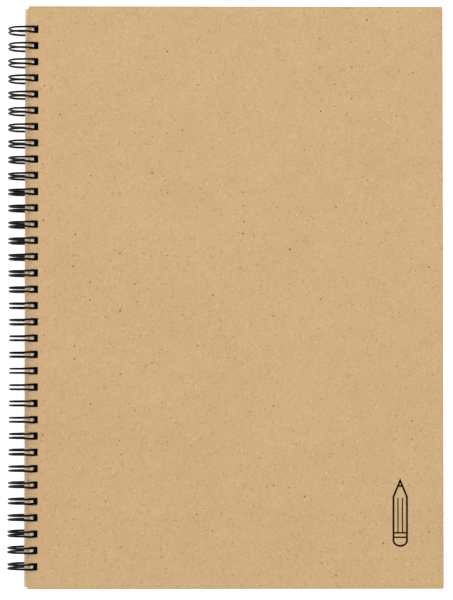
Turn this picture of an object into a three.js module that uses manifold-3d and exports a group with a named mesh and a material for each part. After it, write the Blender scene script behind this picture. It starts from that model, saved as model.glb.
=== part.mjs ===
// A wire-bound A4 sketchbook lying closed: two kraft boards, forty leaves and one twin-loop wire.
// Millimetres. +X runs from the binding to the fore edge, +Y to the head, +Z up through the front cover.
// The origin is at the bottom centre of the closed book, under the lowest points of the wire.
import * as THREE from "three";
import { mergeVertices } from "three/addons/utils/BufferGeometryUtils.js";
import Module from "manifold-3d";

const wasm = await Module();
wasm.setup();

// Boards and leaves
const COVER_WIDTH = 216;
const COVER_HEIGHT = 303;
const COVER_THICKNESS = 1.5;
const LEAF_WIDTH = 210;
const LEAF_HEIGHT = 297;
const LEAF_COUNT = 40;
const LEAF_THICKNESS = 0.19;
const LEAF_PITCH = 0.2;

// Twin-loop wire, three loops to the inch
const LOOP_COUNT = 34;
const LOOP_PITCH = 25.4 / 3;
const ROW_SHIFT = -0.3; // along Y, from the middle of the boards to the middle of the row of loops
const WIRE_RADIUS = 0.55;
const RING_RADIUS = 7.75; // to the middle of the wire
const WIRE_SIDES = 5;
// Degrees round the ring: 0 towards the fore edge, 90 over the front cover, 270 under the back cover
const LEG_START = 300;
const LEG_END = 270;
const ARC_STEP = 30; // between two sections of wire
const LEG_HALF_GAP = 1.05; // half the distance between the two legs outside the book
const HOLE_HALF_GAP = 1.32; // the legs spread a little where they enter the holes
const SPREAD_REACH = 0.7; // cosine of the ring angle at which the legs are fully spread
const TURN_STEPS = 4;
const CORNER_RADIUS = 1.1;
const CORNER_STEPS = 2;

// Punching. Each offset is from the ring's axis to the sheet's spine edge.
const HOLE_SIZE = 3.9;
const FRONT_OFFSET = 2.77;
const FRONT_MARGIN = 1.35;
const BACK_OFFSET = 0.45;
const BACK_MARGIN = 3.67;
const LEAF_OFFSET = 3.15;
const LEAF_MARGIN = 2.3;
const LEAF_SLOT_WIDTH = 4.0;
const CUT_THROUGH = 1; // how far a cutting tool runs past each face

// Worked out from the sizes above
const RING_OUTSIDE = RING_RADIUS + WIRE_RADIUS;
const AXIS_Z = RING_OUTSIDE;
const AXIS_X = (RING_OUTSIDE - FRONT_OFFSET - COVER_WIDTH) / 2;
const BLOCK_THICKNESS = LEAF_COUNT * LEAF_PITCH;
const BLOCK_BOTTOM = AXIS_Z - BLOCK_THICKNESS / 2;
const BLOCK_TOP = AXIS_Z + BLOCK_THICKNESS / 2;
const holeCentres = Array.from(
  { length: LOOP_COUNT },
  (_, k) => ROW_SHIFT + (k - (LOOP_COUNT - 1) / 2) * LOOP_PITCH,
);

const kraft = { color: 0xd0af81, roughness: 0.85, metalness: 0 };
const paper = { color: 0xf2efe6, roughness: 0.9, metalness: 0 };
const blackWire = { color: 0x121212, roughness: 0.35, metalness: 0.2 };

function namedMesh(name, geometry, look) {
  const mesh = new THREE.Mesh(geometry, new THREE.MeshStandardMaterial(look));
  mesh.name = name;
  return mesh;
}

// Booleans
function solidFrom(geometry) {
  geometry.deleteAttribute("normal");
  geometry.deleteAttribute("uv");
  const merged = mergeVertices(geometry);
  return new wasm.Manifold(
    new wasm.Mesh({
      numProp: 3,
      vertProperties: merged.attributes.position.array,
      triVerts: new Uint32Array(merged.index.array),
    }),
  );
}

function geometryFrom(solid) {
  const result = solid.getMesh();
  const geometry = new THREE.BufferGeometry();
  geometry.setAttribute("position", new THREE.BufferAttribute(result.vertProperties, 3));
  geometry.setIndex(new THREE.BufferAttribute(result.triVerts, 1));
  geometry.computeVertexNormals();
  return geometry;
}

// A box from its spine side (x), middle (y) and underside (z).
function block(x, y, z, width, height, thickness) {
  const geometry = new THREE.BoxGeometry(width, height, thickness);
  geometry.translate(x + width / 2, y, z + thickness / 2);
  return geometry;
}

// A kraft board with a square hole for every loop. The underside is given, the spine edge by its offset.
function cover(name, offset, margin, underside) {
  const spine = AXIS_X + offset;
  let board = solidFrom(block(spine, 0, underside, COVER_WIDTH, COVER_HEIGHT, COVER_THICKNESS));
  for (const y of holeCentres) {
    const punch = block(
      spine + margin, y, underside - CUT_THROUGH,
      HOLE_SIZE, HOLE_SIZE, COVER_THICKNESS + 2 * CUT_THROUGH,
    );
    board = board.subtract(solidFrom(punch));
  }
  return namedMesh(name, geometryFrom(board), kraft);
}

// A leaf. Its row of holes is opened into one long slot, as wide as a hole, from the first hole to the last.
function leaf(index) {
  const spine = AXIS_X + LEAF_OFFSET;
  const underside = BLOCK_TOP - (index + 1) * LEAF_PITCH + (LEAF_PITCH - LEAF_THICKNESS) / 2;
  const slotHeight = (LOOP_COUNT - 1) * LOOP_PITCH + LEAF_SLOT_WIDTH;
  const sheet = solidFrom(block(spine, 0, underside, LEAF_WIDTH, LEAF_HEIGHT, LEAF_THICKNESS));
  const slot = block(
    spine + LEAF_MARGIN, ROW_SHIFT, underside - CUT_THROUGH,
    LEAF_SLOT_WIDTH, slotHeight, LEAF_THICKNESS + 2 * CUT_THROUGH,
  );
  const name = "leaf_" + String(index + 1).padStart(2, "0");
  return namedMesh(name, geometryFrom(sheet.subtract(solidFrom(slot))), paper);
}

// The wire's centre line lies on the ring's cylinder: a station is an angle round the ring and a place along Y.
class BindingPath extends THREE.Curve {
  constructor(stations) {
    super();
    this.stations = stations;
  }

  outward({ angle }) {
    const turn = THREE.MathUtils.degToRad(angle);
    return new THREE.Vector3(Math.cos(turn), 0, Math.sin(turn));
  }

  place(station) {
    const point = this.outward(station).multiplyScalar(RING_RADIUS);
    return point.add(new THREE.Vector3(AXIS_X, station.y, AXIS_Z));
  }

  getPoint(t) {
    const along = t * (this.stations.length - 1);
    const start = Math.min(Math.floor(along), this.stations.length - 2);
    const from = this.stations[start];
    const to = this.stations[start + 1];
    return this.place({
      angle: THREE.MathUtils.lerp(from.angle, to.angle, along - start),
      y: THREE.MathUtils.lerp(from.y, to.y, along - start),
    });
  }

  getSpacedPoints() {
    return this.stations.map((station) => this.place(station));
  }

  // One corner of the wire's section always faces straight out from the ring's axis.
  computeFrenetFrames() {
    const points = this.getSpacedPoints();
    const tangents = points.map((_, i) => {
      const before = points[Math.max(i - 1, 0)];
      const after = points[Math.min(i + 1, points.length - 1)];
      return after.clone().sub(before).normalize();
    });
    const normals = this.stations.map((station, i) => {
      const out = this.outward(station);
      return out.addScaledVector(tangents[i], -out.dot(tangents[i])).normalize();
    });
    const binormals = tangents.map((tangent, i) => tangent.clone().cross(normals[i]));
    return { tangents, normals, binormals };
  }
}

// Half the distance between the legs at a ring angle: wider where they pass through the holes.
function halfGap(angle) {
  const toBook = Math.cos(THREE.MathUtils.degToRad(angle)) / SPREAD_REACH;
  const spread = THREE.MathUtils.smoothstep(toBook, 0, 1);
  return THREE.MathUtils.lerp(LEG_HALF_GAP, HOLE_HALF_GAP, spread);
}

// The ring angle that a length of wire spans.
function arcDegrees(length) {
  return THREE.MathUtils.radToDeg(length / RING_RADIUS);
}

// One loop: a leg up through the holes and over to the tip, a round turn, and the same leg back beside it.
function loopStations(y) {
  const last = LEG_END + 360;
  const steps = (last - LEG_START) / ARC_STEP;
  const legAngles = Array.from({ length: steps + 1 }, (_, i) => LEG_START + ARC_STEP * i);
  const tipTurn = Array.from({ length: TURN_STEPS - 1 }, (_, i) => {
    const turn = (Math.PI * (i + 1)) / TURN_STEPS;
    return {
      angle: last + arcDegrees(LEG_HALF_GAP * Math.sin(turn)),
      y: y - LEG_HALF_GAP * Math.cos(turn),
    };
  });
  return [
    ...legAngles.map((angle) => ({ angle, y: y - halfGap(angle) })),
    ...tipTurn,
    ...legAngles.reverse().map((angle) => ({ angle, y: y + halfGap(angle) })),
  ];
}

// The root bar from one loop to the next, with a rounded corner at each end.
function rootStations(y) {
  const rootAngle = LEG_START - arcDegrees(CORNER_RADIUS);
  const corner = Array.from({ length: CORNER_STEPS }, (_, i) => {
    const turn = (Math.PI / 2) * ((i + 1) / CORNER_STEPS);
    return {
      angle: rootAngle + arcDegrees(CORNER_RADIUS * (1 - Math.sin(turn))),
      y: CORNER_RADIUS * (1 - Math.cos(turn)),
    };
  });
  const gap = halfGap(LEG_START);
  const leaving = corner.map((c) => ({ angle: c.angle, y: y + gap + c.y }));
  const arriving = corner.map((c) => ({ angle: c.angle, y: y + LOOP_PITCH - gap - c.y }));
  return [...leaving, ...arriving.reverse()];
}

function bindingWire() {
  const stations = holeCentres.flatMap((y, k) => [
    ...loopStations(y),
    ...(k < LOOP_COUNT - 1 ? rootStations(y) : []),
  ]);
  const section = new THREE.Shape(
    Array.from({ length: WIRE_SIDES }, (_, i) => {
      const turn = (2 * Math.PI * i) / WIRE_SIDES;
      return new THREE.Vector2(WIRE_RADIUS * Math.cos(turn), WIRE_RADIUS * Math.sin(turn));
    }),
  );
  const geometry = new THREE.ExtrudeGeometry(section, {
    steps: stations.length - 1,
    extrudePath: new BindingPath(stations),
  });
  return namedMesh("binding_wire", geometry, blackWire);
}

const sketchbook = new THREE.Group();
sketchbook.add(cover("front_cover", FRONT_OFFSET, FRONT_MARGIN, BLOCK_TOP));
sketchbook.add(cover("back_cover", BACK_OFFSET, BACK_MARGIN, BLOCK_BOTTOM - COVER_THICKNESS));
for (let index = 0; index < LEAF_COUNT; index += 1) {
  sketchbook.add(leaf(index));
}
sketchbook.add(bindingWire());

export default sketchbook;
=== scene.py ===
"""The looks of a wire-bound sketchbook: kraft boards, punched leaves and a black twin-loop wire.

Everything is in metres, in the frame of the CAD model: +X from the binding to the fore edge,
+Y to the head and +Z up through the front cover. The script runs in Blender 4.5.
"""

import math
import random

import bmesh
import bpy
from mathutils import Matrix, Vector


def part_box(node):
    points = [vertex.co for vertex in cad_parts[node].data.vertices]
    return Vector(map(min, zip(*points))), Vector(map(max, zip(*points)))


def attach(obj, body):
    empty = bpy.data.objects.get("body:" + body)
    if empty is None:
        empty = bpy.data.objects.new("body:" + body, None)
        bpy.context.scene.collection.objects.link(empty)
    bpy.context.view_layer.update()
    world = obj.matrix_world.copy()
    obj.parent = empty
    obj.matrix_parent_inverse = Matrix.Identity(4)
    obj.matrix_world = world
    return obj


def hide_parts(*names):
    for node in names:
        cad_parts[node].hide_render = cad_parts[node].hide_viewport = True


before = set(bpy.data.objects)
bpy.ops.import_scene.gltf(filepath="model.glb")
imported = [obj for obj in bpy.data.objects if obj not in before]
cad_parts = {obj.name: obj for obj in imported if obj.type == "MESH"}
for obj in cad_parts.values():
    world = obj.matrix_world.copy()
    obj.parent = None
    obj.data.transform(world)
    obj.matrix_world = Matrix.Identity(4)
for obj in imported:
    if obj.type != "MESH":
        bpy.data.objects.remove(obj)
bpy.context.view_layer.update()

MM = 0.001

# Punching and wire, as the CAD model has them
LOOP_COUNT = 34
LOOP_PITCH = 25.4 * MM / 3
COVER_HOLE = 3.9 * MM
LEAF_HOLE = 4.0 * MM
FRONT_MARGIN = 1.35 * MM
BACK_MARGIN = 3.67 * MM
LEAF_MARGIN = 2.3 * MM
LEAF_COUNT = 40
WIRE_RADIUS = 0.55 * MM
ROW_SHIFT = -0.3 * MM  # along Y, from the middle of the boards to the middle of the loops
LOOP_YS = [ROW_SHIFT + (k - (LOOP_COUNT - 1) / 2) * LOOP_PITCH for k in range(LOOP_COUNT)]

# Sheets
COVER_EDGE_RADIUS = 0.20 * MM
LEAF_CORNER_CUT = 0.25 * MM
LEAF_SCATTER = (0.12 * MM, 0.10 * MM)  # how far a leaf may lie out of line, along X and Y

# The swept wire. Degrees round the ring: 0 towards the fore edge, 90 over the front cover
LEG_START = 300
LEG_END = 630
LEG_STEPS = 44
TIP_STEPS = 12
ROOT_STEPS = 5
ROOT_CORNER_RADIUS = 1.1 * MM
WIRE_SIDES = 12
HOLE_HALF_GAP = 1.32 * MM  # from a loop's middle to its legs where they enter the holes
SPREAD_REACH = 0.7  # cosine of the ring angle at which the legs are fully spread
LEAN_FROM, LEAN_TO = 470, 600  # ring angles between which a loop comes to lean

# How a loop differs from the next, counted in mm
LEG_HALF_GAP = 1.05  # from a loop's middle to its legs outside the book
GAP_SPREAD = 0.07
MOST_LEAN = 0.36
SHRINK_RANGE = (0.01, 0.06)  # off the ring's radius all round

# The loops are flattest a third of the way from the foot to the head, as in the photo
PINCH_MIDDLE = 0.35
PINCH_REACH = 0.21
PINCH_SHRINK = 0.06  # counted in mm, off the ring's radius all round
PINCH_SQUEEZE = 0.85 * MM  # off its radius on the side away from the book
SQUEEZE_POWER = 7

# The printed mark
PENCIL_WIDTH = 8.0 * MM
PENCIL_LENGTH = 35.4 * MM
PENCIL_POINT = 9.4 * MM
PENCIL_LEAD = 2.8 * MM
PENCIL_LINE = 1.0 * MM
PENCIL_FERRULE = (5.0 * MM, 7.3 * MM)
PENCIL_FERRULE_LINE = 0.8  # shares of the outline's width
PENCIL_SIDE_LINE = 0.65
PENCIL_ROUND_END = 0.8  # the round end's height, as a share of half its width
PENCIL_ROUND_STEPS = 8
PENCIL_FROM_FORE_EDGE = 22.6 * MM
PENCIL_FROM_FOOT = 21.7 * MM
INK_HEIGHT = 0.012 * MM
INK_THICKNESS = 0.010 * MM

FLOOR_REACH = 4.0  # half the floor's side
FLOOR_GAP = 0.05 * MM  # between the floor and the lowest point of the book

# The painted shadow on the floor: from the back cover's spine edge, and past the outermost loops
ROW_SHADE_START = 0.5 * MM
ROW_SHADE_END = 12.0 * MM
ROW_SHADE_PAST = 5.0 * MM

# Name, place, size and power of each softbox
SOFTBOXES = (
    ("top_softbox", (0.0, 0.2, 1.7), 0.9, 12.5),
    ("left_softbox", (-1.5, 0.9, 1.5), 1.2, 6),
    ("right_softbox", (1.5, 0.8, 1.5), 1.2, 6),
)
SKY_FALLOFF_END = 0.4  # sine of the height above the horizon

CAMERA_HEIGHT = 1200 * MM
CAMERA_SHIFT = (-14.0 * MM, -28.0 * MM)
CAMERA_TARGET = (0.74 * MM, -1.64 * MM)
FRAME_HEIGHT = 311.9 * MM

wire_low, wire_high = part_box("binding_wire")
RING_OUTSIDE = (wire_high.x - wire_low.x) / 2
RING_RADIUS = RING_OUTSIDE - WIRE_RADIUS
AXIS_X = (wire_low.x + wire_high.x) / 2
AXIS_Z = wire_high.z - RING_OUTSIDE

front_low, front_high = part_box("front_cover")
back_low, back_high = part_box("back_cover")

# Linear colours
KRAFT_WARM = (0.655, 0.432, 0.216)
KRAFT_COOL = (0.647, 0.435, 0.217)
# The inside colours are the same kraft painted lighter: painted light, offsetting the shade on
# the back cover's strip beside the front cover
KRAFT_INSIDE_PAINTED_LIGHT_WARM = (0.800, 0.592, 0.356)
KRAFT_INSIDE_PAINTED_LIGHT_COOL = (0.787, 0.597, 0.364)
KRAFT_PALE = (0.800, 0.640, 0.420)
KRAFT_DARK = (0.240, 0.118, 0.045)
KRAFT_FLECK = (0.070, 0.034, 0.014)
KRAFT_EDGE = (0.350, 0.245, 0.142)
PAPER = (0.925, 0.918, 0.900)
PAPER_SHADE = (0.780, 0.768, 0.735)
WIRE_BLACK = (0.0030, 0.0030, 0.0034)
BARE_STEEL = (0.560, 0.550, 0.530)
INK = (0.006, 0.005, 0.005)
FLOOR = (0.930, 0.930, 0.930)
# painted shadow: the floor's colour under the row of holes
FLOOR_PAINTED_SHADOW = (0.030, 0.030, 0.030)
FLOOR_GLOW = 0.62
SKY_AT_HORIZON = 0.95
SKY_OVERHEAD = 0.41

FIBRE_TURNS = (4, 38, 86, 121, 160)  # degrees: the ways that fibres lie in the board
RIM_PAINTED_SHADE_OUTSIDE = 0.13  # painted shade: how much darker the board's colour is made along its rim, outside and inside
RIM_PAINTED_SHADE_INSIDE = 0.03


# ---------------------------------------------------------------- materials


class Look:
    """One procedural material: a principled shader and the nodes that feed it."""

    def __init__(self, name, roughness, **constants):
        self.material = bpy.data.materials.new(name)
        self.material.use_nodes = True
        self.tree = self.material.node_tree
        self.shader = self.tree.nodes["Principled BSDF"]
        self.shader.inputs["Roughness"].default_value = roughness
        for socket, value in constants.items():
            self.shader.inputs[socket.replace("_", " ")].default_value = value
        self.place = self.millimetres()

    def node(self, kind, **settings):
        made = self.tree.nodes.new(kind)
        for name, value in settings.items():
            setattr(made, name, value)
        return made

    def feed(self, source, socket):
        """Links an output to an input, or sets the input where source is a plain value."""
        if isinstance(source, bpy.types.NodeSocket):
            self.tree.links.new(source, socket)
        else:
            socket.default_value = source

    def millimetres(self):
        """Places on the object, counted in millimetres."""
        place = self.node("ShaderNodeTexCoord").outputs["Object"]
        scale = self.node("ShaderNodeVectorMath", operation="SCALE")
        self.feed(place, scale.inputs[0])
        scale.inputs["Scale"].default_value = 1 / MM
        return scale.outputs[0]

    def math(self, operation, *terms):
        made = self.node("ShaderNodeMath", operation=operation)
        for term, socket in zip(terms, made.inputs):
            self.feed(term, socket)
        return made.outputs[0]

    def ramp(self, value, low, high, start=0.0, end=1.0):
        """value from low..high to start..end, held at both ends."""
        made = self.node("ShaderNodeMapRange", interpolation_type="SMOOTHSTEP")
        self.feed(value, made.inputs["Value"])
        for name, number in (
            ("From Min", low),
            ("From Max", high),
            ("To Min", start),
            ("To Max", end),
        ):
            self.feed(number, made.inputs[name])
        return made.outputs["Result"]

    def turned(self, stretch, turn=0.0, shift=0.0):
        """The places, turned about Z, moved and then counted in steps of stretch millimetres."""
        made = self.node("ShaderNodeMapping", vector_type="TEXTURE")
        self.feed(self.place, made.inputs["Vector"])
        made.inputs["Location"].default_value = (shift, shift, shift)
        made.inputs["Rotation"].default_value = (0, 0, math.radians(turn))
        made.inputs["Scale"].default_value = stretch
        return made.outputs[0]

    def noise(self, stretch, turn=0.0, shift=0.0, detail=2.0, distortion=0.0):
        made = self.node("ShaderNodeTexNoise")
        self.feed(self.turned(stretch, turn, shift), made.inputs["Vector"])
        made.inputs["Scale"].default_value = 1.0
        made.inputs["Detail"].default_value = detail
        made.inputs["Distortion"].default_value = distortion
        return made.outputs["Fac"]

    def fibres(self, length, width, turns, low, high, shift=0.0):
        """Short fibres lying in several directions: 1 on a fibre and 0 between them."""
        total = 0.0
        for step, turn in enumerate(turns):
            layer = self.noise(
                (length, width, width), turn, shift + 17.0 * step, 1.0, 0.35
            )
            total = self.math("MAXIMUM", self.ramp(layer, low, high), total)
        return total

    def specks(self, spacing, radius, share, shift=0.0, stretch=1.0, turn=0.0):
        """Flecks of uneven size in a share of the cells: 1 in a fleck and 0 between them."""
        cells = self.node("ShaderNodeTexVoronoi", voronoi_dimensions="2D")
        steps = (spacing * stretch, spacing / stretch, spacing)
        self.feed(self.turned(steps, turn, shift), cells.inputs["Vector"])
        cells.inputs["Scale"].default_value = 1.0
        chance = self.node("ShaderNodeSeparateColor")
        self.feed(cells.outputs["Color"], chance.inputs[0])
        there = self.math("LESS_THAN", chance.outputs["Red"], share)
        reach = radius / spacing
        size = self.math("MULTIPLY_ADD", chance.outputs["Green"], 0.6 * reach, 0.4 * reach)
        inner = self.math("MULTIPLY", size, 0.4)
        fleck = self.ramp(cells.outputs["Distance"], inner, size, 1.0, 0.0)
        return self.math("MULTIPLY", fleck, there)

    def sum(self, *terms):
        """Adds (output, amount) pairs, each counted from the middle of its 0..1 range."""
        total = 0.0
        for value, amount in terms:
            part = self.math("MULTIPLY_ADD", value, amount, -amount / 2)
            total = self.math("ADD", part, total)
        return total

    def rim(self, low, high):
        """How far a place lies inside a rectangle's nearest side, in millimetres."""
        place = self.node("ShaderNodeSeparateXYZ")
        self.feed(self.place, place.inputs[0])
        inside = []
        for axis in (0, 1):
            middle = (low[axis] + high[axis]) / 2 / MM
            half = (high[axis] - low[axis]) / 2 / MM
            away = self.math("ABSOLUTE", self.math("SUBTRACT", place.outputs[axis], middle))
            inside.append(self.math("SUBTRACT", half, away))
        return self.math("MINIMUM", *inside)

    def tint(self, colour, brightness):
        """colour made lighter or darker by a share."""
        made = self.node("ShaderNodeVectorMath", operation="SCALE")
        self.feed(colour, made.inputs[0])
        self.feed(self.math("ADD", brightness, 1.0), made.inputs["Scale"])
        return made.outputs[0]

    def mix(self, factor, first, second):
        made = self.node("ShaderNodeMix", data_type="RGBA")
        self.feed(factor, made.inputs["Factor"])
        for source, socket in ((first, made.inputs["A"]), (second, made.inputs["B"])):
            if isinstance(source, tuple):
                source = (*source, 1.0)
            self.feed(source, socket)
        return made.outputs["Result"]

    def colour(self, source):
        self.feed(source, self.shader.inputs["Base Color"])

    def roughness(self, source):
        self.feed(source, self.shader.inputs["Roughness"])

    def bump(self, height, depth, strength=1.0):
        """Raises the surface by height times depth, in metres."""
        made = self.node("ShaderNodeBump")
        made.inputs["Strength"].default_value = strength
        made.inputs["Distance"].default_value = depth
        self.feed(height, made.inputs["Height"])
        self.feed(made.outputs[0], self.shader.inputs["Normal"])


def kraft_face(name, warm, cool, rim_painted_shade, low, high, shift):
    """Unbleached board: cloudy brown with fibres, dark and pale flecks, and painted shade
    darkening its colour along the rim.

    shift moves the pattern, so that no two faces are alike.
    """
    look = Look(name, 0.85, Specular_IOR_Level=0.25, Sheen_Weight=0.05)
    clouds = look.noise((34, 22, 22), 20, shift, 3.0)
    patches = look.noise((8, 6, 6), 55, shift + 3, 2.0)
    mottle = look.noise((3.0, 2.2, 2.2), 70, shift, 3.0)
    grain = look.noise((0.9, 0.7, 0.7), 0, shift, 4.0)
    pale = look.fibres(2.7, 0.44, FIBRE_TURNS, 0.69, 0.74, shift + 5)
    dark = look.fibres(2.4, 0.40, FIBRE_TURNS, 0.70, 0.75, shift + 90)
    hairs = look.fibres(5.5, 0.34, FIBRE_TURNS[1:4], 0.715, 0.75, shift + 140)
    tangled = look.ramp(look.noise((6, 5, 5), 33, shift + 9, 2.0), 0.42, 0.60, 0.45, 1.0)
    body = look.mix(look.ramp(patches, 0.35, 0.65), warm, cool)
    shades = ((clouds, 0.11), (patches, 0.10), (mottle, 0.07), (grain, 0.06))
    body = look.tint(body, look.sum(*shades))
    for threads, colour, amount in (
        (pale, KRAFT_PALE, 0.64),
        (dark, KRAFT_DARK, 0.56),
        (hairs, KRAFT_DARK, 0.50),
    ):
        share = look.math("MULTIPLY", look.math("MULTIPLY", threads, tangled), amount)
        body = look.mix(share, body, colour)
    for flecks, colour, amount in (
        (look.specks(4.4, 0.58, 0.24, shift + 31, 1.35, 75), KRAFT_PALE, 0.62),
        (look.specks(4.6, 0.54, 0.30, shift + 71, 1.5, 35), KRAFT_DARK, 0.42),
        (look.specks(4.9, 0.54, 0.30, shift + 113, 1.5, 120), KRAFT_DARK, 0.42),
        (look.specks(8.0, 0.62, 0.15, shift + 57), KRAFT_FLECK, 0.95),
    ):
        body = look.mix(look.math("MULTIPLY", flecks, amount), body, colour)
    # painted shade: the colour darkens towards the board's rim, where its rounded edge turns from
    # the light
    rim = look.ramp(look.rim(low, high), 0.15, 0.75, -rim_painted_shade, 0.0)
    look.colour(look.tint(body, rim))
    look.roughness(look.ramp(grain, 0.3, 0.7, 0.78, 0.92))
    look.bump(look.sum((grain, 1.0), (mottle, 0.6), (pale, 0.5)), 0.03 * MM, 0.35)
    return look.material


def kraft_edge():
    """The cut edge of the board: darker, pressed layers that run along the edge."""
    look = Look("kraft_board_edge", 0.92, Specular_IOR_Level=0.15)
    layers = look.noise((9, 9, 0.16), 0, 3, 2.0)
    crumbs = look.noise((0.5, 0.5, 0.3), 0, 8, 3.0)
    body = look.tint(KRAFT_EDGE, look.sum((layers, 0.38), (crumbs, 0.30)))
    look.colour(look.mix(look.ramp(crumbs, 0.58, 0.75, 0.0, 0.35), body, KRAFT_PALE))
    look.bump(look.sum((layers, 1.0), (crumbs, 0.8)), 0.06 * MM, 0.7)
    return look.material


def drawing_paper():
    """White cartridge paper with a fine tooth."""
    look = Look("drawing_paper", 0.9, Specular_IOR_Level=0.2, Sheen_Weight=0.04)
    clouds = look.noise((14, 9, 9), 40, 2, 2.0)
    tooth = look.noise((0.75, 0.6, 0.6), 0, 6, 4.0)
    hairs = look.fibres(1.8, 0.16, (25, 95, 140), 0.66, 0.78, 12)
    body = look.tint(PAPER, look.sum((clouds, 0.02), (tooth, 0.035)))
    look.colour(look.mix(look.math("MULTIPLY", hairs, 0.12), body, PAPER_SHADE))
    look.roughness(look.ramp(tooth, 0.3, 0.7, 0.84, 0.94))
    look.bump(look.sum((tooth, 1.0), (hairs, 0.3)), 0.03 * MM, 0.6)
    return look.material


def paper_edge():
    """The guillotined edge of a leaf, a little greyer than its face."""
    look = Look("drawing_paper_edge", 0.95, Specular_IOR_Level=0.1)
    fluff = look.noise((0.7, 0.7, 0.12), 0, 4, 3.0)
    streaks = look.noise((12, 12, 0.35), 0, 9, 2.0)
    look.colour(look.tint(PAPER_SHADE, look.sum((fluff, 0.16), (streaks, 0.20))))
    look.bump(fluff, 0.03 * MM, 0.6)
    return look.material


def coated_wire():
    """Steel wire in a black nylon coat: satin, with faint drawn lines and scuffs."""
    look = Look(
        "black_wire_coat", 0.30, Specular_IOR_Level=0.09, Coat_Weight=0.02, Coat_Roughness=0.2
    )
    skin = look.noise((1.6, 1.6, 1.6), 0, 1, 3.0)
    scuffs = look.fibres(1.4, 0.12, (10, 80), 0.68, 0.80, 40)
    body = look.tint(WIRE_BLACK, look.sum((skin, 0.5)))
    look.colour(look.mix(look.math("MULTIPLY", scuffs, 0.03), body, BARE_STEEL))
    look.roughness(look.ramp(skin, 0.3, 0.7, 0.24, 0.38))
    look.bump(look.sum((skin, 1.0), (scuffs, -0.5)), 0.02 * MM, 0.5)
    return look.material


def cut_steel():
    """The bare steel at the two cut ends of the wire."""
    look = Look("cut_steel", 0.4, Metallic=1.0)
    lines = look.noise((0.9, 0.05, 0.9), 30, 5, 1.0)
    look.colour(look.tint(BARE_STEEL, look.sum((lines, 0.4))))
    look.roughness(look.ramp(lines, 0.3, 0.7, 0.30, 0.55))
    return look.material


def black_ink():
    """Matt black printing ink, thin enough for the board's grain to show."""
    look = Look("black_ink", 0.7, Specular_IOR_Level=0.08)
    grain = look.noise((0.55, 0.4, 0.4), 0, 0, 3.0)
    thin = look.ramp(grain, 0.60, 0.76, 0.0, 0.15)
    look.colour(look.mix(thin, INK, KRAFT_DARK))
    look.roughness(look.ramp(grain, 0.3, 0.7, 0.6, 0.8))
    return look.material


def pale_floor():
    """A pale floor that glows like a light table, with no glow under the book.

    Its colour is painted dark only under the row of holes: a painted shadow, so that the holes
    look black, as a real book's do.
    """
    look = Look("pale_floor", 0.8, Specular_IOR_Level=0.1)
    row_low = (back_low.x + ROW_SHADE_START, LOOP_YS[0] - ROW_SHADE_PAST)
    row_high = (back_low.x + ROW_SHADE_END, LOOP_YS[-1] + ROW_SHADE_PAST)
    # painted shadow under the row of holes, fading out over 3 mm at its sides
    painted_shadow_row = look.ramp(look.rim(row_low, row_high), 0.0, 3.0)
    open_floor = look.tint(FLOOR, look.sum((look.noise((60, 60, 60), 0, 0, 2.0), 0.004)))
    look.colour(look.mix(painted_shadow_row, open_floor, FLOOR_PAINTED_SHADOW))
    glow = look.ramp(look.rim(back_low, back_high), -0.1, 1.2, FLOOR_GLOW, 0.0)
    look.shader.inputs["Emission Color"].default_value = (1, 1, 1, 1)
    look.feed(glow, look.shader.inputs["Emission Strength"])
    return look.material


# ------------------------------------------------------------------- shapes


def new_object(name, mesh_builder, *materials):
    """A mesh object from a bmesh, with its material slots."""
    mesh = bpy.data.meshes.new(name)
    mesh_builder.to_mesh(mesh)
    mesh_builder.free()
    for material in materials:
        mesh.materials.append(material)
    made = bpy.data.objects.new(name, mesh)
    bpy.context.scene.collection.objects.link(made)
    return made


def punched_sheet(low, high, margin, hole):
    """A sheet between two corners with a square hole for every loop, as closed quads."""
    xs = [low.x, low.x + margin, low.x + margin + hole, high.x]
    ys = [low.y]
    for y in LOOP_YS:
        ys += [y - hole / 2, y + hole / 2]
    ys.append(high.y)

    def filled(i, j):
        inside = 0 <= i < len(xs) - 1 and 0 <= j < len(ys) - 1
        return inside and not (i == 1 and j % 2 == 1)

    sheet = bmesh.new()
    corners = {}

    def corner(i, j, z):
        if (i, j, z) not in corners:
            corners[i, j, z] = sheet.verts.new((xs[i], ys[j], z))
        return corners[i, j, z]

    for i in range(len(xs) - 1):
        for j in range(len(ys) - 1):
            if not filled(i, j):
                continue
            ring = [(i, j), (i + 1, j), (i + 1, j + 1), (i, j + 1)]
            outside = [(i, j - 1), (i + 1, j), (i, j + 1), (i - 1, j)]
            sheet.faces.new([corner(*at, high.z) for at in ring])
            sheet.faces.new([corner(*at, low.z) for at in reversed(ring)])
            for side, neighbour in enumerate(outside):
                if filled(*neighbour):
                    continue
                start, end = ring[side], ring[(side + 1) % 4]
                sheet.faces.new(
                    [
                        corner(*start, low.z),
                        corner(*end, low.z),
                        corner(*end, high.z),
                        corner(*start, high.z),
                    ]
                )
    sheet.normal_update()
    return sheet


def soften(sheet, width, segments, only_upright):
    """Rounds the sharp edges of a punched sheet, or only the upright ones at its corners."""
    edges = []
    for edge in sheet.edges:
        sharp = edge.calc_face_angle(0.0) > math.radians(30)
        rise = abs(edge.verts[0].co.z - edge.verts[1].co.z)
        if sharp and (rise > 0 or not only_upright):
            edges.append(edge)
    bmesh.ops.bevel(
        sheet,
        geom=edges,
        offset=width,
        offset_type="OFFSET",
        segments=segments,
        profile=0.5,
        affect="EDGES",
    )


def paint_faces(made, above, below, beside):
    """Gives the faces that look up, down and sideways their material slots."""
    for face in made.data.polygons:
        slope = face.normal.z
        face.material_index = beside if abs(slope) < 0.5 else above if slope > 0 else below


def cover(name, low, high, margin, above, below, edge):
    """A punched board with its own material above, below and on its cut edges."""
    sheet = punched_sheet(low, high, margin, COVER_HOLE)
    soften(sheet, COVER_EDGE_RADIUS, 3, only_upright=False)
    made = new_object(name, sheet, above, below, edge)
    paint_faces(made, 0, 1, 2)
    return made


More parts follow.
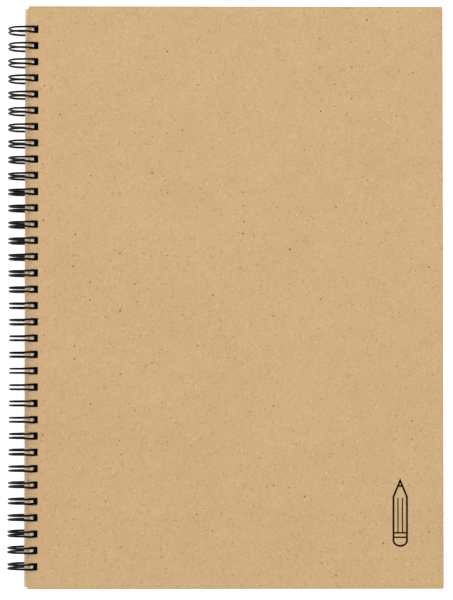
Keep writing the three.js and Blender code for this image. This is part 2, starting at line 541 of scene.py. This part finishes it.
def leaves(face_material, edge_material):
    """Forty punched leaves, each a hair out of line with the next, as a jogged stack is."""
    chance = random.Random(7)
    for index in range(1, LEAF_COUNT + 1):
        node = f"leaf_{index:02d}"
        low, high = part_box(node)
        sheet = punched_sheet(low, high, LEAF_MARGIN, LEAF_HOLE)
        soften(sheet, LEAF_CORNER_CUT, 2, only_upright=True)
        made = new_object(f"{node}_sheet", sheet, face_material, edge_material)
        paint_faces(made, 0, 0, 1)
        off = [chance.uniform(-reach, reach) for reach in LEAF_SCATTER]
        made.data.transform(Matrix.Translation((*off, 0)))
        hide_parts(node)
        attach(made, node)


def smoothstep(low, high, value):
    share = min(max((value - low) / (high - low), 0.0), 1.0)
    return share * share * (3 - 2 * share)


class LoopShape:
    """How one hand-closed loop differs from the others: its lean, its gap and its size."""

    def __init__(self, chance, along):
        pinch = math.exp(-(((along - PINCH_MIDDLE) / PINCH_REACH) ** 2))
        self.lean = chance.uniform(-MOST_LEAN, 0.0) * MM
        self.gap = (LEG_HALF_GAP + chance.uniform(-GAP_SPREAD, GAP_SPREAD)) * MM
        self.shrink = (PINCH_SHRINK * pinch + chance.uniform(*SHRINK_RANGE)) * MM
        self.squeeze = PINCH_SQUEEZE * pinch

    def half_gap(self, turn):
        spread = smoothstep(0, SPREAD_REACH, math.cos(turn))
        return self.gap + (HOLE_HALF_GAP - self.gap) * spread

    def middle(self, turn):
        return self.lean * smoothstep(LEAN_FROM, LEAN_TO, math.degrees(turn))

    def radius(self, turn):
        away = max(0.0, -math.cos(turn))
        return RING_RADIUS - self.shrink - self.squeeze * away**SQUEEZE_POWER


def loop_path(y, shape):
    """(turn, y, radius) stations of one loop: a leg to the tip, a round turn, and a leg back."""
    span = LEG_END - LEG_START
    angles = [math.radians(LEG_START + span * i / LEG_STEPS) for i in range(LEG_STEPS + 1)]
    there = [(a, y + shape.middle(a) - shape.half_gap(a), shape.radius(a)) for a in angles]
    back = [(a, y + shape.middle(a) + shape.half_gap(a), shape.radius(a)) for a in angles]
    end = angles[-1]
    gap, radius = shape.half_gap(end), shape.radius(end)
    tip = []
    for i in range(1, TIP_STEPS):
        bend = math.pi * i / TIP_STEPS
        past = gap * math.sin(bend) / radius
        tip.append((end + past, y + shape.middle(end) - gap * math.cos(bend), radius))
    return there + tip + back[::-1]


def root_path(start, end):
    """The bar that joins one loop's last station to the next loop's first, with round corners."""
    path = []
    for station, side, order in ((start, 1, 1), (end, -1, -1)):
        turn, y, radius = station
        corner = []
        for i in range(1, ROOT_STEPS + 1):
            bend = math.pi / 2 * i / ROOT_STEPS
            down = ROOT_CORNER_RADIUS * math.sin(bend) / radius
            over = ROOT_CORNER_RADIUS * (1 - math.cos(bend))
            corner.append((turn - down, y + side * over, radius))
        path += corner[::order]
    return path


def binding_wire(coat, bare):
    """The whole wire as one swept tube. One corner of its section always faces off the axis."""
    chance = random.Random(34)
    loops = []
    for k, y in enumerate(LOOP_YS):
        loops.append(loop_path(y, LoopShape(chance, k / (LOOP_COUNT - 1))))
    stations = list(loops[0])
    for before, after in zip(loops, loops[1:]):
        stations += root_path(before[-1], after[0]) + after

    def outward(turn):
        return Vector((math.cos(turn), 0, math.sin(turn)))

    axis = Vector((AXIS_X, 0, AXIS_Z))
    points = [axis + outward(t) * r + Vector((0, y, 0)) for t, y, r in stations]
    tube = bmesh.new()
    rings = []
    for i, (turn, _, _) in enumerate(stations):
        along = points[min(i + 1, len(points) - 1)] - points[max(i - 1, 0)]
        along.normalize()
        out = outward(turn)
        out = (out - along * out.dot(along)).normalized()
        across = along.cross(out)
        ring = []
        for s in range(WIRE_SIDES):
            bend = 2 * math.pi * s / WIRE_SIDES
            spoke = out * math.cos(bend) + across * math.sin(bend)
            ring.append(tube.verts.new(points[i] + spoke * WIRE_RADIUS))
        rings.append(ring)
    for one, two in zip(rings, rings[1:]):
        for s in range(WIRE_SIDES):
            after = (s + 1) % WIRE_SIDES
            face = tube.faces.new((one[s], one[after], two[after], two[s]))
            face.smooth = True
    for cap in (rings[0][::-1], rings[-1]):
        tube.faces.new(cap).material_index = 1
    bmesh.ops.recalc_face_normals(tube, faces=tube.faces)
    return new_object("binding_wire_coated", tube, coat, bare)


def ribbon(builder, points, width, top, closed):
    """A printed line of one width through points: a thin solid with mitred corners."""
    count = len(points)

    def heading(i):
        """The direction from point i to the next one, or of an open line's last piece."""
        start = i if closed else min(max(i, 0), count - 2)
        return (points[(start + 1) % count] - points[start]).normalized()

    rings = []
    for i, point in enumerate(points):
        into, out = heading(i - 1), heading(i)
        normal = Vector((-into.y - out.y, into.x + out.x)).normalized()
        reach = width / 2 / max(normal.dot(Vector((-into.y, into.x))), 0.3)
        left, right = point + normal * reach, point - normal * reach
        under = top - INK_THICKNESS
        corners = ((right, top), (left, top), (left, under), (right, under))
        rings.append([builder.verts.new((*side, height)) for side, height in corners])
    for i in range(count if closed else count - 1):
        one, two = rings[i], rings[(i + 1) % count]
        for s in range(4):
            after = (s + 1) % 4
            builder.faces.new((one[s], two[s], two[after], one[after]))
    if not closed:
        builder.faces.new(rings[0])
        builder.faces.new(rings[-1][::-1])


def printed_pencil(material):
    """A plain pencil outline printed near the lower fore corner of the front cover."""
    middle = front_high.x - PENCIL_FROM_FORE_EDGE
    foot = front_low.y + PENCIL_FROM_FOOT
    top = front_high.z + INK_HEIGHT
    half = PENCIL_WIDTH / 2 - PENCIL_LINE / 2
    inner = half - PENCIL_LINE / 2
    shoulder = PENCIL_LENGTH - PENCIL_POINT
    builder = bmesh.new()

    def at(x, y):
        return Vector((middle + x, foot + y))

    outline = []
    for i in range(PENCIL_ROUND_STEPS + 1):
        turn = math.pi + math.pi * i / PENCIL_ROUND_STEPS
        rise = half * PENCIL_ROUND_END * (1 + math.sin(turn)) + PENCIL_LINE / 2
        outline.append(at(half * math.cos(turn), rise))
    outline += [at(half, shoulder), at(0, PENCIL_LENGTH - PENCIL_LINE), at(-half, shoulder)]
    ribbon(builder, outline, PENCIL_LINE, top, closed=True)

    lines = []
    for y in PENCIL_FERRULE:
        lines.append(((-inner, y), (inner, y), PENCIL_FERRULE_LINE))
    for x in (-half / 3, half / 3):
        low_end = PENCIL_FERRULE[1] + PENCIL_LINE * 0.4
        lines.append(((x, low_end), (x, shoulder - 0.6 * MM), PENCIL_SIDE_LINE))
    reach = inner * PENCIL_LEAD / (PENCIL_LENGTH - shoulder)
    lead_y = PENCIL_LENGTH - PENCIL_LEAD - PENCIL_LINE
    lines.append(((-reach, lead_y), (reach, lead_y), 1.0))
    for start, end, share in lines:
        ribbon(builder, [at(*start), at(*end)], PENCIL_LINE * share, top, closed=False)
    builder.normal_update()
    return new_object("printed_pencil_mark", builder, material)


# -------------------------------------------------------------------- scene


def lay_floor():
    """A pale floor that touches the lowest points of the wire and the back cover's fore edge."""
    slope = (back_low.z - wire_low.z) / (back_high.x - AXIS_X)
    builder = bmesh.new()
    corners = []
    for across, along in ((-1, -1), (1, -1), (1, 1), (-1, 1)):
        x, y = across * FLOOR_REACH, along * FLOOR_REACH
        z = wire_low.z + slope * (x - AXIS_X) - FLOOR_GAP
        corners.append(builder.verts.new((x, y, z)))
    builder.faces.new(corners)
    new_object("floor", builder, pale_floor())


def softbox(name, place, size, power):
    """A square area light that points at the middle of the book."""
    data = bpy.data.lights.new(name, "AREA")
    data.shape = "SQUARE"
    data.size = size
    data.energy = power
    lamp = bpy.data.objects.new(name, data)
    lamp.location = place
    lamp.rotation_euler = (-Vector(place)).to_track_quat("-Z", "Y").to_euler()
    bpy.context.scene.collection.objects.link(lamp)


def light_studio():
    """White surroundings that are brightest at the horizon, and three softboxes."""
    world = bpy.data.worlds.new("studio")
    world.use_nodes = True
    nodes, links = world.node_tree.nodes, world.node_tree.links
    background = nodes["Background"]
    background.inputs["Color"].default_value = (1, 1, 1, 1)
    direction = nodes.new("ShaderNodeTexCoord").outputs["Generated"]
    parts = nodes.new("ShaderNodeSeparateXYZ")
    links.new(direction, parts.inputs[0])
    falloff = nodes.new("ShaderNodeMapRange")
    links.new(parts.outputs["Z"], falloff.inputs["Value"])
    for name, number in (
        ("From Min", 0.0),
        ("From Max", SKY_FALLOFF_END),
        ("To Min", SKY_AT_HORIZON),
        ("To Max", SKY_OVERHEAD),
    ):
        falloff.inputs[name].default_value = number
    links.new(falloff.outputs["Result"], background.inputs["Strength"])
    bpy.context.scene.world = world
    for box in SOFTBOXES:
        softbox(*box)
    bpy.context.scene.view_settings.view_transform = "Standard"


def aim_camera():
    """Nearly straight down on the front cover, from a little towards its foot and binding."""
    target = Vector((*CAMERA_TARGET, front_high.z))
    place = target + Vector((*CAMERA_SHIFT, CAMERA_HEIGHT))
    back = (place - target).normalized()
    right = Vector((0, 1, 0)).cross(back).normalized()
    up = back.cross(right)
    data = bpy.data.cameras.new("camera")
    data.lens = data.sensor_width * (place - target).length / FRAME_HEIGHT
    camera = bpy.data.objects.new("camera", data)
    turn = Matrix((right, up, back)).transposed().to_4x4()
    camera.matrix_world = Matrix.Translation(place) @ turn
    bpy.context.scene.collection.objects.link(camera)
    bpy.context.scene.camera = camera


kraft_rim = kraft_edge()
outer = (KRAFT_WARM, KRAFT_COOL, RIM_PAINTED_SHADE_OUTSIDE)
# the inside faces take the lighter kraft with painted light, and a weaker painted shade along the
# rim
inner = (KRAFT_INSIDE_PAINTED_LIGHT_WARM, KRAFT_INSIDE_PAINTED_LIGHT_COOL, RIM_PAINTED_SHADE_INSIDE)
front_box = (front_low, front_high)
back_box = (back_low, back_high)
front_outside = kraft_face("kraft_front_outside", *outer, *front_box, 0)
front_inside = kraft_face("kraft_front_inside", *inner, *front_box, 400)
back_inside = kraft_face("kraft_back_inside", *inner, *back_box, 560)
back_outside = kraft_face("kraft_back_outside", *outer, *back_box, 240)
front_faces = (front_outside, front_inside, kraft_rim)
back_faces = (back_inside, back_outside, kraft_rim)
front = cover("front_cover_board", *front_box, FRONT_MARGIN, *front_faces)
back = cover("back_cover_board", *back_box, BACK_MARGIN, *back_faces)
wire = binding_wire(coated_wire(), cut_steel())
mark = printed_pencil(black_ink())
leaves(drawing_paper(), paper_edge())

for made, node, body, slot in (
    (front, "front_cover", "front_cover", "kraft_board"),
    (back, "back_cover", "base", "kraft_board"),
    (wire, "binding_wire", "base", "black_wire"),
):
    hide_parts(node)
    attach(made, body)
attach(mark, "front_cover")

lay_floor()
light_studio()
aim_camera()
